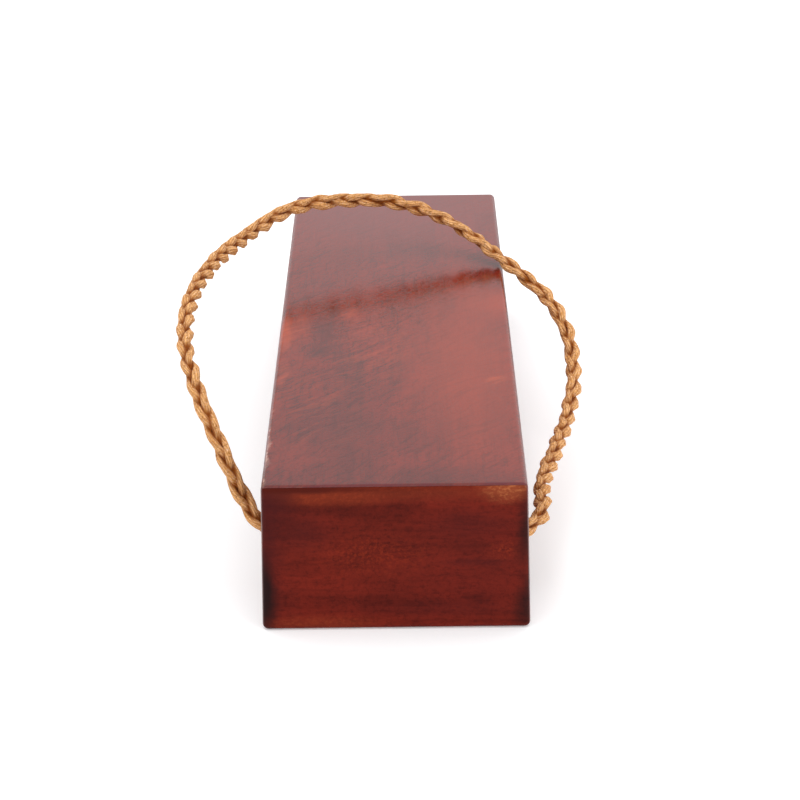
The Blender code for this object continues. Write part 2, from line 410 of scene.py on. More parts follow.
def groove_outline(middle, depth_share):
    """A groove's section with its rounded crests, as (y, z) points, closed below the surface."""
    radius = ((GROOVE_WIDTH / 2) ** 2 + GROOVE_DEPTH**2) / (2 * GROOVE_DEPTH)
    reach = math.asin(GROOVE_WIDTH / 2 / radius) * GROOVE_ARC_SHARE
    arc = []
    for i in range(GROOVE_ARC_STEPS + 1):
        angle = -reach + 2 * reach * i / GROOVE_ARC_STEPS
        height = GROOVE_DEPTH - radius + radius * math.cos(angle)
        arc.append((radius * math.sin(angle), height))
    rim = GROOVE_WIDTH / 2 + CREST_ROUNDING
    shoulder = GROOVE_WIDTH / 2 + CREST_ROUNDING * SHOULDER_OUT
    drop = arc[0][1] * SHOULDER_DROP
    left = [(-rim, 0.0), (-shoulder, drop)]
    right = [(shoulder, drop), (rim, 0.0)]
    section = [(-rim, -OVERCUT), *left, *arc, *right, (rim, -OVERCUT)]
    return [(middle + y, z * depth_share if z > 0 else z) for y, z in section]


def groove_cutters():
    """The grooves between the ridges, which rise to the surface at both their ends."""
    bm = bmesh.new()
    half_length = HALF_BOTTOM - GROOVE_SIDE_MARGIN
    run = [1 - math.cos(math.pi / 2 * i / RUN_OUT_STEPS) for i in range(RUN_OUT_STEPS)]
    stations = [(-half_length + GROOVE_RUN_OUT * r, math.sqrt(1 - (1 - r) ** 2)) for r in run]
    stations += [(-half_length + GROOVE_RUN_OUT, 1.0)]
    stations += [(-x, share) for x, share in reversed(stations)]
    count = int(RIDGE_FIELD_LENGTH / RIDGE_PITCH)
    for i in range(count):
        middle = (i - (count - 1) / 2) * RIDGE_PITCH
        rings = []
        for x, share in stations:
            outline = groove_outline(middle, max(share, GROOVE_LEAST_DEPTH))
            rings.append([(x, y, z) for y, z in outline])
        loft(bm, rings)
    return bm


def slot_ring(x, grow):
    """The sound slot's outline at x, made larger all round by grow."""
    radius = SLOT_HEIGHT / 2
    ring = []
    for side in (1, -1):
        for i in range(SLOT_END_STEPS + 1):
            angle = math.pi * (i / SLOT_END_STEPS - 0.5)
            along = SLOT_LENGTH / 2 - radius + (radius + grow) * math.cos(angle)
            height = (radius + grow) * math.sin(angle)
            ring.append((x, SLOT_CENTRE_Y + side * along, HOLE_Z + side * height))
    return ring


def slot_cutter():
    """The sound slot, whose outer rim is rounded over."""
    bm = bmesh.new()
    outer = -side_x(HOLE_Z)
    rings = [slot_ring(outer - OVERCUT, SLOT_ROUNDING)]
    for i in range(SLOT_RIM_STEPS + 1):
        angle = math.pi / 2 * i / SLOT_RIM_STEPS
        grow = SLOT_ROUNDING * (1 - math.sin(angle))
        rings.append(slot_ring(outer + SLOT_ROUNDING * (1 - math.cos(angle)), grow))
    rings.append(slot_ring(outer + SIDE_THICKNESS + OVERCUT, 0.0))
    loft(bm, rings)
    return bm


def hole_ring(x, radius):
    """A circle about the holes' axis."""
    ring = []
    for i in range(HOLE_SIDES):
        angle = 2 * math.pi * i / HOLE_SIDES
        ring.append((x, HOLE_Y + radius * math.cos(angle), HOLE_Z + radius * math.sin(angle)))
    return ring


def hole_cutter(side):
    """A cord hole with its mouth rounded over."""
    outer = side_x(HOLE_Z)
    radius = HOLE_DIAMETER / 2
    profile = [(INNER_X - OVERCUT, radius)]
    for i in range(MOUTH_STEPS + 1):
        angle = math.pi / 2 * i / MOUTH_STEPS
        depth = COUNTERSINK * (1 - math.sin(angle))
        profile.append((outer - depth, radius + COUNTERSINK * (1 - math.cos(angle))))
    profile.append((outer + OVERCUT, radius + COUNTERSINK))
    bm = bmesh.new()
    loft(bm, [hole_ring(side * x, r) for x, r in profile])
    return bm


def build_boards():
    """The six boards, each from one worn block, with their grooves, slot and holes cut."""
    block = outer_block()
    slice_block(block)
    wear_edges(block)
    boards = {name: board(name, block) for name in FACES}
    block.free()
    subtract(boards["ridged_board"], groove_cutters())
    subtract(boards["left_side_wall"], slot_cutter())
    subtract(boards["left_side_wall"], hole_cutter(-1))
    subtract(boards["right_side_wall"], hole_cutter(1))
    for obj in boards.values():
        smooth(obj, FLAT_ANGLE)
    return boards


# ---------------------------------------------------------------- the cord and its knots


def smooth_line(points):
    """The cubic spline through the points, leaving the first and reaching the last along X.

    It gives the spline's length and a function from the distance along it to a place.
    """
    points = np.array(points)
    gaps = np.linalg.norm(np.diff(points, axis=0), axis=1)
    at = np.concatenate([[0], np.cumsum(gaps)])
    count = len(points)
    end_slope = np.array([-1.0, 0, 0])
    slopes = np.diff(points, axis=0) / gaps[:, None]
    system = np.zeros((count, count))
    right = np.zeros_like(points)
    for i in range(1, count - 1):
        system[i, i - 1 : i + 2] = gaps[i - 1], 2 * (gaps[i - 1] + gaps[i]), gaps[i]
        right[i] = 6 * (slopes[i] - slopes[i - 1])
    system[0, :2] = 2 * gaps[0], gaps[0]
    right[0] = 6 * (slopes[0] - end_slope)
    system[-1, -2:] = gaps[-1], 2 * gaps[-1]
    right[-1] = 6 * (end_slope - slopes[-1])
    second = np.linalg.solve(system, right)

    def place(distance):
        i = min(int(np.searchsorted(at, distance, side="right")) - 1, count - 2)
        u = (distance - at[i]) / gaps[i]
        straight = (1 - u) * points[i] + u * points[i + 1]
        bend = ((1 - u) ** 3 - (1 - u)) * second[i] + (u**3 - u) * second[i + 1]
        return straight + bend * gaps[i] ** 2 / 6

    return at[-1], place


def even(points, step):
    """Points a step apart along the line through the given ones."""
    points = np.array(points)
    gaps = np.linalg.norm(np.diff(points, axis=0), axis=1)
    at = np.concatenate([[0], np.cumsum(gaps)])
    wanted = np.linspace(0, at[-1], math.ceil(at[-1] / step) + 1)
    return np.stack([np.interp(wanted, at, points[:, k]) for k in range(3)], axis=1), wanted


def cord_line():
    """The cord's line in the frame, from one wall's inner face to the other's."""
    length, place = smooth_line(CORD_ROUTE)
    along = np.linspace(0, length, LINE_POINTS)
    middle = np.array([place(s) for s in along])
    line = np.concatenate([[(-INNER_X, 0, 0)], middle, [(INNER_X, 0, 0)]])
    return line + np.array((0, HOLE_Y, HOLE_Z))


def unit(vectors):
    return vectors / np.linalg.norm(vectors, axis=-1, keepdims=True)


def from_table(shares, table):
    """The table's values at shares of the length, as a column."""
    places = [share for share, _ in table]
    values = [value for _, value in table]
    return np.interp(shares, places, values)[:, None]


def wander(at, seed):
    """A smooth uneven run of numbers from -1 to 1 along the cord, as a column."""
    knots = np.random.default_rng(seed).uniform(-1, 1, int(at[-1] / UNEVEN_SPACING) + 3)
    share = at / UNEVEN_SPACING
    first = share.astype(int)
    part = share - first
    part = part * part * (3 - 2 * part)
    return (knots[first] * (1 - part) + knots[first + 1] * part)[:, None]


def cross_frame(line, facing):
    """Two directions across the line at each point: nearest to facing, and across that."""
    along = unit(np.gradient(line, axis=0))
    ahead = facing - along * np.sum(facing * along, axis=1, keepdims=True)
    out = unit(ahead)
    across = np.cross(along, out)
    return out, across


def strand_rings(centre, out, at, radius, phase):
    """The points round one strand: a section of a few bundles that turn slowly about it."""
    along = unit(np.gradient(centre, axis=0))
    normal = unit(out - along * np.sum(out * along, axis=1, keepdims=True))
    side = np.cross(along, normal)
    angles = np.linspace(0, 2 * math.pi, STRAND_SIDES, endpoint=False)
    lobes = np.cos(STRAND_BUNDLES * (angles[None] - BUNDLE_TWIST * at[:, None] - phase))
    sizes = radius * (1 - BUNDLE_RELIEF + BUNDLE_RELIEF * lobes)
    offsets = np.cos(angles)[None, :, None] * normal[:, None] * sizes[..., None]
    offsets += np.sin(angles)[None, :, None] * side[:, None] * sizes[..., None]
    return centre[:, None] + offsets


def strand_centre(line, flat, wide, phase, lean, scale):
    """One strand's own line, as it weaves across the cord's."""
    sideways = PLAIT_HALF_WIDTH * np.sin(phase) - PLAIT_LEAN * lean * np.cos(2 * phase)
    outwards = PLAIT_HALF_DEPTH * np.sin(2 * phase)
    return line + (wide * sideways + flat * outwards) * scale


def strand_faces(first, count, at, k):
    """The faces between the strand's rings and over its ends, with a UV for each corner."""
    quads, uvs = [], []
    for i in range(count - 1):
        for j in range(STRAND_SIDES):
            n = (j + 1) % STRAND_SIDES
            a, b = first + i * STRAND_SIDES, first + (i + 1) * STRAND_SIDES
            quads.append((a + j, b + j, b + n, a + n))
            low, high = j / STRAND_SIDES + k, (j + 1) / STRAND_SIDES + k
            uvs += [(at[i], low), (at[i + 1], low), (at[i + 1], high), (at[i], high)]
    for i in (0, count - 1):
        cap = [first + i * STRAND_SIDES + j for j in range(STRAND_SIDES)]
        quads.append(cap if i else cap[::-1])
        uvs += [(at[i], j / STRAND_SIDES + k) for j in range(STRAND_SIDES)]
    return quads, uvs


def plait(name, line, scale, facing, weave, turns, leans):
    """A mesh of three strands plaited along the line, with UVs along and round each strand.

    Its "rise" attribute is how far each point stands out from the cord's line; the cord's material
    paints shade where it is low.
    """
    line, at = even(line, PLAIT_STEP * scale)
    out, across = cross_frame(line, facing)
    turn = from_table(at / at[-1], turns)
    lean = from_table(at / at[-1], leans)
    woven = from_table(at, weave)
    flat = out * np.cos(turn) + across * np.sin(turn)
    wide = across * np.cos(turn) - out * np.sin(turn)
    verts, quads, uvs, rises = [], [], [], []
    for k in range(3):
        phase = 2 * math.pi * (woven + k / 3)
        centre = strand_centre(line, flat, wide, phase, lean, scale)
        centre = centre + flat * UNEVEN_PLACE * scale * wander(at, OUT_SEED + k)
        centre = centre + wide * UNEVEN_PLACE * scale * wander(at, SIDE_SEED + k)
        bulge = lean * (0.5 + 0.5 * np.sin(phase)) ** 3 - STRAND_SWELL_LOSS
        swell = 1 + UNEVEN_SIZE * wander(at, SIZE_SEED + k) + STRAND_SWELL * bulge
        radius = STRAND_RADIUS * scale * swell
        rings = strand_rings(centre, flat, at, radius, k)
        first = k * len(line) * STRAND_SIDES
        more_quads, more_uvs = strand_faces(first, len(line), at, k)
        quads += more_quads
        uvs += more_uvs
        verts.append(rings.reshape(-1, 3))
        rise = np.linalg.norm(rings - line[:, None], axis=2) / (CORD_DIAMETER / 2 * scale)
        rises.append(rise.reshape(-1))
    mesh = bpy.data.meshes.new(name)
    mesh.from_pydata(np.concatenate(verts).tolist(), [], quads)
    layer = mesh.uv_layers.new(name="strand")
    layer.uv.foreach_set("vector", np.array(uvs, np.float32).reshape(-1))
    attribute = mesh.attributes.new("rise", "FLOAT", "POINT")
    attribute.data.foreach_set("value", np.concatenate(rises).astype(np.float32))
    mesh.shade_smooth()
    return new_object(name, mesh)


def build_cord():
    """The handle, from inside one wall to inside the other."""
    facing = np.array(PLAIT_FACING)
    return plait(
        "rope_handle_looks", cord_line(), 1.0, facing, PLAIT_WEAVE, PLAIT_TURNS, PLAIT_LEANS
    )


def knot_line(side):
    """A trefoil's line, drawn up to the size of the stopper knot, about the hole's axis."""
    tube = CORD_DIAMETER * KNOT_CORD_SCALE / 2
    ring = (KNOT_DIAMETER / 2 - tube) / 3
    depth = KNOT_LENGTH / 2 - tube
    middle = side * (INNER_X - KNOT_GAP - KNOT_LENGTH / 2)
    points = []
    for i in range(KNOT_STEPS + 1):
        t = 2 * math.pi * i / KNOT_STEPS
        x = middle - depth * math.sin(3 * t)
        y = HOLE_Y + ring * (math.sin(t) + 2 * math.sin(2 * t))
        z = HOLE_Z + ring * (math.cos(t) - 2 * math.cos(2 * t))
        points.append((x, y, z))
    return np.array(points)


def build_knot(name, side):
    """A stopper knot of the same plait, drawn tight and woven evenly all along."""
    facing = np.array((1.0, 0.0, 0.0))
    steady_weave = ((0.0, 0.0), (1.0, 1 / KNOT_PITCH))
    even_all_along = ((0.0, 0.0), (1.0, 0.0))
    return plait(
        name + "_looks",
        knot_line(side),
        KNOT_CORD_SCALE,
        facing,
        steady_weave,
        even_all_along,
        even_all_along,
    )


# ---------------------------------------------------------------- material helpers


class Pattern(NamedTuple):
    """A noise, and the values of it between which it rises from nothing to all."""

    scale: float
    detail: float
    roughness: float
    distortion: float
    low: float
    high: float


class Graph:
    """A material's nodes, as calls that take and give sockets."""

    def __init__(self, name):
        self.material = bpy.data.materials.new(name)
        self.material.use_nodes = True
        self.tree = self.material.node_tree
        self.shader = self.tree.nodes["Principled BSDF"]
        self.place = self.node("ShaderNodeTexCoord").outputs["Object"]

    def feed(self, socket, value):
        if isinstance(value, bpy.types.NodeSocket):
            self.tree.links.new(value, socket)
        elif isinstance(value, tuple) and len(value) == 3 and socket.type == "RGBA":
            socket.default_value = (*value, 1.0)
        else:
            socket.default_value = value

    def node(self, kind, inputs=None, **settings):
        made = self.tree.nodes.new(kind)
        for key, value in settings.items():
            setattr(made, key, value)
        for key, value in (inputs or {}).items():
            self.feed(made.inputs[key], value)
        return made

    def math(self, operation, first, second=0.0, third=0.0):
        inputs = {0: first, 1: second, 2: third}
        return self.node("ShaderNodeMath", inputs, operation=operation).outputs[0]

    def vector(self, operation, first, second=(0.0, 0.0, 0.0)):
        made = self.node("ShaderNodeVectorMath", {0: first, 1: second}, operation=operation)
        return made.outputs["Value" if operation == "LENGTH" else "Vector"]

    def parts(self, vector):
        made = self.node("ShaderNodeSeparateXYZ", {"Vector": vector})
        return made.outputs["X"], made.outputs["Y"], made.outputs["Z"]

    def noise(self, vector, scale, detail, roughness, distortion=0.0):
        inputs = {
            "Vector": vector,
            "Scale": scale,
            "Detail": detail,
            "Roughness": roughness,
            "Distortion": distortion,
        }
        return self.node("ShaderNodeTexNoise", inputs).outputs["Fac"]

    def pattern(self, vector, pattern, start=0.0, end=1.0):
        """The pattern's noise over the vector, from start in its lows to end in its highs."""
        found = self.noise(
            vector, pattern.scale, pattern.detail, pattern.roughness, pattern.distortion
        )
        return self.ramp(found, pattern.low, pattern.high, start, end)

    def warp(self, scale, detail):
        """A noise with three parts, to shift places by."""
        inputs = {"Vector": self.place, "Scale": scale, "Detail": detail}
        return self.node("ShaderNodeTexNoise", inputs).outputs["Color"]

    def ramp(self, value, low, high, start=0.0, end=1.0):
        """start where value is below low, end where it is above high, and smooth between."""
        inputs = {
            "Value": value,
            "From Min": low,
            "From Max": high,
            "To Min": start,
            "To Max": end,
        }
        made = self.node("ShaderNodeMapRange", inputs, interpolation_type="SMOOTHSTEP")
        return made.outputs["Result"]

    def mix(self, share, first, second, blend="MIX"):
        made = self.node("ShaderNodeMix", data_type="RGBA", blend_type=blend)
        self.feed(made.inputs["Factor"], share)
        self.feed(made.inputs[6], first)
        self.feed(made.inputs[7], second)
        return made.outputs[2]

    def bump(self, height, distance, strength=1.0):
        inputs = {"Height": height, "Distance": distance, "Strength": strength}
        return self.node("ShaderNodeBump", inputs).outputs["Normal"]


# ---------------------------------------------------------------- wood


BROAD_GRAIN = Pattern(75, 4, 0.6, 0.8, 0.36, 0.64)
FINE_GRAIN = Pattern(900, 5, 0.7, 0.2, 0.46, 0.70)
CLOUDS = Pattern(55, 4, 0.65, 0.0, 0.38, 0.66)
SPECKS = Pattern(1100, 4, 0.7, 0.0, 0.46, 0.66)
STROKES = Pattern(760, 4, 0.65, 0.4, 0.48, 0.66)
RUBBING = Pattern(260, 4, 0.7, 0.0, 0.42, 0.60)
BROKEN = Pattern(560, 5, 0.72, 0.0, 0.46, 0.62)  # the specks that break up a patch
FINE_SHARE = 0.55  # how strongly the fine grain darkens the stain, and then the two others
SPECK_SHARE = 0.45
STROKE_SHARE = 0.60
MARK_TINT = (0.42, 0.34, 0.36)
CLOUD_SHARE = 0.40
CLOUD_LIGHTER = 1.40  # the clouds' colour, times the stain's
CLOUD_ROUGHER = 0.06
SWIRL_SCALE = 32.0
SWIRL_REACH = (0.014, 0.014, 0.0)  # how far the swirls bend the brush strokes
BRUSH_TURN = (0.0, 0.0, 0.75)
BRUSH_STRETCH = (1.0, 0.16, 1.0)
WOBBLE_SCALE = 180.0
WOBBLE_REACH = (0.004, 0.006, 0.0010)  # how far a patch's outline wanders
EDGE_FULL = 0.0002  # how near an edge the wear is whole
EDGE_NONE = 0.0009  # and how far from it there is none
STAIN_DEPTH = 0.0022  # how deep in the box the stain reaches
BARE_DEPTH = 0.0034  # and from where there is only bare wood
GRAIN_RELIEF = 0.00003
MARK_DEPTH = 0.6  # of the specks and of the fine grain, as a share of the relief


class Patch(NamedTuple):
    """A place where the colour differs, by a stain or, where noted, painted shade: an ellipsoid with
    a soft outline, broken into specks.
    """

    centre: tuple
    sizes: tuple
    colour: tuple
    share: float
    softness: float = 0.8
    raggedness: float = 1.0


class Look(NamedTuple):
    """How one board is stained: colours as linear red, green, blue."""

    light: tuple
    dark: tuple
    grain: tuple  # how the grain's pattern is drawn out
    roughness: float
    specular: float
    patches: tuple = ()
    wear: float = 0.4  # how much of the edge's colour shows along the edges
    edge: tuple = (0.45, 0.20, 0.13)
    speck_scale: float = BROKEN.scale
    marks: float = 1.0  # how strong the grain, specks and strokes are


ALONG_Y = (1.0, 0.10, 1.0)
ALONG_X = (0.12, 1.0, 1.0)
BARE_WOOD = (0.42, 0.23, 0.11)
ORANGE = (0.44, 0.055, 0.012)
MAROON = (0.055, 0.006, 0.006)
NEAR_BLACK = (0.010, 0.004, 0.004)
TOP_Z = BODY_HEIGHT
NEAR_Y = -HALF_LENGTH

BACK_PATCHES = (
    Patch((0.000, 0.095, TOP_Z), (0.060, 0.060, 0.02), (0.21, 0.050, 0.046), 0.85, 0.9, 0.1),
    Patch((0.030, 0.010, TOP_Z), (0.010, 0.012, 0.02), (0.38, 0.034, 0.004), 0.70, 0.9, 0.1),
    Patch((0.021, -0.030, TOP_Z), (0.019, 0.062, 0.02), (0.30, 0.030, 0.008), 0.80, 0.9, 0.15),
    Patch((-0.010, -0.074, TOP_Z), (0.020, 0.024, 0.02), (0.095, 0.010, 0.008), 0.55, 0.9, 0.3),
    Patch((-0.018, 0.030, TOP_Z), (0.016, 0.030, 0.02), (0.15, 0.018, 0.014), 0.50, 0.9, 0.3),
    Patch((0.016, -0.100, TOP_Z), (0.022, 0.009, 0.02), (0.085, 0.008, 0.006), 0.75, 0.9, 0.3),
    Patch((-0.0308, -0.010, TOP_Z), (0.0026, 0.012, 0.02), ORANGE, 0.92, 0.7, 0.35),
    Patch((-0.0262, -0.006, TOP_Z), (0.0024, 0.008, 0.02), ORANGE, 0.50, 0.7, 0.7),
    Patch((-0.0303, -0.036, TOP_Z), (0.0020, 0.008, 0.02), ORANGE, 0.60, 0.7, 0.7),
    Patch((-0.0063, -0.020, TOP_Z), (0.0110, 0.024, 0.02), ORANGE, 0.32, 0.9, 1.0),
    Patch((-0.0130, 0.003, TOP_Z), (0.0030, 0.006, 0.02), ORANGE, 0.50, 0.9, 0.9),
    Patch((-0.0200, -0.060, TOP_Z), (0.0120, 0.030, 0.02), ORANGE, 0.22, 0.9, 1.0),
    Patch((0.0272, -0.042, TOP_Z), (0.0026, 0.0026, 0.02), (0.50, 0.07, 0.012), 0.50, 0.9, 0.7),
    Patch((-0.0322, -0.084, TOP_Z), (0.0009, 0.024, 0.02), (0.66, 0.40, 0.32), 0.90, 0.6, 0.8),
    # A darker crimson line along the top's near edge: painted shade that damps the reflection on its
    # rounding.
    Patch((0.000, NEAR_Y, TOP_Z), (0.060, 0.0013, 0.02), (0.105, 0.004, 0.009), 0.92, 0.6, 0.25),
)
END_PATCHES = (
    Patch((0.000, NEAR_Y, 0.0390), (0.060, 0.01, 0.0028), (0.21, 0.028, 0.010), 0.60, 0.9, 0.3),
    Patch((0.0275, NEAR_Y, 0.0398), (0.0068, 0.01, 0.0038), (0.40, 0.115, 0.040), 0.95, 0.9, 0.65),
    Patch((-0.0160, NEAR_Y, 0.0374), (0.0150, 0.01, 0.0024), (0.26, 0.034, 0.010), 0.60, 0.8, 0.4),
    Patch((-0.0200, NEAR_Y, 0.0020), (0.0160, 0.01, 0.0024), (0.25, 0.036, 0.012), 0.60, 0.8, 0.6),
    Patch((-0.0050, NEAR_Y, 0.0215), (0.0160, 0.01, 0.0060), (0.28, 0.028, 0.008), 0.42, 0.9, 1.0),
    Patch((0.0265, NEAR_Y, 0.0222), (0.0040, 0.01, 0.0030), (0.32, 0.034, 0.009), 0.60, 0.9, 1.0),
    Patch((-0.0235, NEAR_Y, 0.0280), (0.0080, 0.01, 0.0060), MAROON, 0.50, 0.9, 0.2),
    Patch((0.0180, NEAR_Y, 0.0300), (0.0120, 0.01, 0.0040), MAROON, 0.45, 0.9, 0.2),
    Patch((0.0200, NEAR_Y, 0.0190), (0.0090, 0.01, 0.0012), MAROON, 0.50, 0.9, 0.3),
    Patch((0.0121, NEAR_Y, 0.0060), (0.0200, 0.01, 0.0026), MAROON, 0.35, 0.9, 0.2),
    Patch((0.0200, NEAR_Y, 0.0180), (0.0180, 0.01, 0.0180), MAROON, 0.28, 0.9, 0.2),
    Patch((-0.0326, NEAR_Y, 0.0225), (0.0044, 0.01, 0.0190), MAROON, 0.75, 0.9, 0.1),
    Patch((-0.0330, NEAR_Y, 0.0095), (0.0036, 0.01, 0.0125), NEAR_BLACK, 0.92, 0.7, 0.0),
    Patch((0.0322, NEAR_Y, 0.0280), (0.0030, 0.01, 0.0110), NEAR_BLACK, 0.85, 0.9, 0.1),
    Patch((0.0328, NEAR_Y, 0.0070), (0.0036, 0.01, 0.0085), NEAR_BLACK, 0.85, 0.8, 0.1),
    Patch((0.0323, NEAR_Y, 0.0403), (0.0010, 0.004, 0.0010), (0.66, 0.40, 0.26), 0.70, 0.6, 0.5),
    Patch((-0.0300, NEAR_Y, 0.0365), (0.0060, 0.01, 0.0060), MAROON, 0.75, 0.9, 0.1),
    Patch((-0.0250, NEAR_Y, 0.0397), (0.0200, 0.003, 0.0011), (0.075, 0.008, 0.004), 0.95, 0.7, 0.0),
)
SIDE_PATCHES = (
    Patch((0.0330, NEAR_Y, 0.0200), (0.010, 0.0030, 0.0200), NEAR_BLACK, 0.75, 0.8, 0.2),
    Patch((-0.0330, NEAR_Y, 0.0120), (0.010, 0.0030, 0.0140), NEAR_BLACK, 0.80, 0.8, 0.2),
    Patch((0.0330, 0.0400, 0.0300), (0.010, 0.0500, 0.0060), (0.28, 0.034, 0.014), 0.60, 0.9, 0.5),
    Patch((-0.0330, -0.0200, 0.0080), (0.010, 0.0600, 0.0050), MAROON, 0.60, 0.9, 0.3),
    Patch((0.0330, -0.0300, 0.0070), (0.010, 0.0450, 0.0050), MAROON, 0.60, 0.9, 0.3),
    Patch((-0.0330, 0.0600, 0.0300), (0.010, 0.0350, 0.0080), ORANGE, 0.50, 0.9, 1.0),
    Patch((0.0330, -0.0100, 0.0340), (0.010, 0.0500, 0.0040), ORANGE, 0.50, 0.9, 1.0),
)
RIDGE_PATCHES = (
    Patch((0.0, 0.0, 0.0), (0.022, 0.066, 0.0009), (0.36, 0.085, 0.036), 0.80, 0.7, 0.5),
    Patch((0.0, 0.0, 0.0), (0.014, 0.045, 0.0005), (0.50, 0.20, 0.095), 0.80, 0.7, 0.8),
)
SIDE_LOOK = Look(
    light=(0.185, 0.018, 0.011),
    dark=(0.105, 0.010, 0.008),
    grain=ALONG_Y,
    roughness=0.30,
    specular=0.40,
    patches=SIDE_PATCHES,
    wear=0.7,
)
LOOKS = {
    "back_board": Look(
        light=(0.215, 0.018, 0.007),
        dark=(0.140, 0.011, 0.006),
        grain=ALONG_Y,
        roughness=0.13,
        specular=0.69,
        patches=BACK_PATCHES,
        wear=0.7,
    ),
    "handle_end_board": Look(
        light=(0.160, 0.013, 0.006),
        dark=(0.080, 0.006, 0.003),
        grain=ALONG_X,
        roughness=0.50,
        specular=0.07,
        patches=END_PATCHES,
        wear=0.0,
        speck_scale=1200.0,
        marks=0.65,
    ),
    "far_end_board": Look(
        light=(0.150, 0.014, 0.009),
        dark=(0.085, 0.008, 0.006),
        grain=ALONG_X,
        roughness=0.45,
        specular=0.25,
    ),
    "left_side_wall": SIDE_LOOK,
    "right_side_wall": SIDE_LOOK,
    "ridged_board": Look(
        light=(0.190, 0.020, 0.012),
        dark=(0.110, 0.011, 0.008),
        grain=ALONG_Y,
        roughness=0.40,
        specular=0.35,
        patches=RIDGE_PATCHES,
    ),
}


def depths(graph):
    """How far a point lies inside the box from its sides, its ends, and its top or bottom."""
    x, y, z = graph.parts(graph.place)
    width = graph.math("SUBTRACT", HALF_TOP + SIDE_FLARE / 2, graph.math("ABSOLUTE", x))
    length = graph.math("SUBTRACT", HALF_LENGTH, graph.math("ABSOLUTE", y))
    lift = graph.math("ABSOLUTE", graph.math("SUBTRACT", z, BODY_HEIGHT / 2))
    height = graph.math("SUBTRACT", BODY_HEIGHT / 2, lift)
    return width, length, height


def patch_mask(graph, place, ragged, patch):
    """How much of the patch's colour shows: its share inside it, in specks where it is ragged."""
    offset = graph.vector("SUBTRACT", place, patch.centre)
    reach = graph.vector("LENGTH", graph.vector("DIVIDE", offset, patch.sizes))
    whole = graph.ramp(reach, 1 - patch.softness, 1 + patch.softness * 0.5, patch.share, 0.0)
    specks = graph.math("MULTIPLY_ADD", ragged, patch.raggedness, 1 - patch.raggedness)
    return graph.math("MULTIPLY", whole, specks)


def brush_place(graph):
    """Where a point lies along and across the brush strokes, which slant and swirl."""
    swirl = graph.warp(SWIRL_SCALE, 2.0)
    swept = graph.vector("MULTIPLY", swirl, SWIRL_REACH)
    moved = graph.vector("ADD", graph.place, swept)
    turned = graph.node("ShaderNodeMapping", {"Vector": moved, "Rotation": BRUSH_TURN})
    return graph.vector("MULTIPLY", turned.outputs["Vector"], BRUSH_STRETCH)


def add_patches(graph, look, stain, brushed):
    """The stain with the look's patches over it, whose outlines wander."""
    shift = graph.vector("SUBTRACT", graph.warp(WOBBLE_SCALE, 4.0), (0.5, 0.5, 0.5))
    moved = graph.vector("ADD", graph.place, graph.vector("MULTIPLY", shift, WOBBLE_REACH))
    ragged = graph.pattern(brushed, BROKEN._replace(scale=look.speck_scale))
    for patch in look.patches:
        stain = graph.mix(patch_mask(graph, moved, ragged, patch), stain, patch.colour)
    return stain


def grain_colour(graph, look, cloud, brushed):
    """The stain over the grain, with the height of the grain for the bump."""
    drawn = graph.vector("MULTIPLY", graph.place, look.grain)
    fine = graph.pattern(drawn, FINE_GRAIN)
    speck = graph.pattern(graph.place, SPECKS)
    stroke = graph.pattern(brushed, STROKES)
    stain = graph.mix(graph.pattern(drawn, BROAD_GRAIN), look.light, look.dark)
    lighter = tuple(min(1.0, CLOUD_LIGHTER * c) for c in look.light)
    stain = graph.mix(graph.math("MULTIPLY", cloud, CLOUD_SHARE), stain, lighter)
    for mark, share in ((fine, FINE_SHARE), (speck, SPECK_SHARE), (stroke, STROKE_SHARE)):
        strength = graph.math("MULTIPLY", mark, share * look.marks)
        stain = graph.mix(strength, stain, MARK_TINT, "MULTIPLY")
    sunk = graph.math("MULTIPLY", fine, -MARK_DEPTH)
    height = graph.math("MULTIPLY_ADD", speck, -MARK_DEPTH, sunk)
    return stain, height


def stained_wood(name, look):
    """Stained and varnished wood: grain, rubbed patches and a line of painted shade, worn edges, and
    bare wood inside.
    """
    graph = Graph(name)
    cloud = graph.pattern(graph.place, CLOUDS)
    brushed = brush_place(graph)
    stain, height = grain_colour(graph, look, cloud, brushed)
    width, length, tall = depths(graph)
    least = graph.math("MINIMUM", width, length)
    most = graph.math("MAXIMUM", width, length)
    edge = graph.math("MAXIMUM", least, graph.math("MINIMUM", most, tall))
    near = graph.ramp(edge, EDGE_FULL, EDGE_NONE, look.wear, 0.0)
    rub = graph.pattern(graph.place, RUBBING)
    stain = graph.mix(graph.math("MULTIPLY", near, rub), stain, look.edge)
    stain = add_patches(graph, look, stain, brushed)
    deep = graph.math("MINIMUM", least, tall)
    stain = graph.mix(graph.ramp(deep, STAIN_DEPTH, BARE_DEPTH), stain, BARE_WOOD)
    graph.feed(graph.shader.inputs["Base Color"], stain)
    rough = graph.math("MULTIPLY_ADD", cloud, CLOUD_ROUGHER, look.roughness)
    graph.feed(graph.shader.inputs["Roughness"], rough)
    graph.shader.inputs["Specular IOR Level"].default_value = look.specular
    graph.feed(graph.shader.inputs["Normal"], graph.bump(height, GRAIN_RELIEF, 0.5))
    return graph.material


# ---------------------------------------------------------------- cord


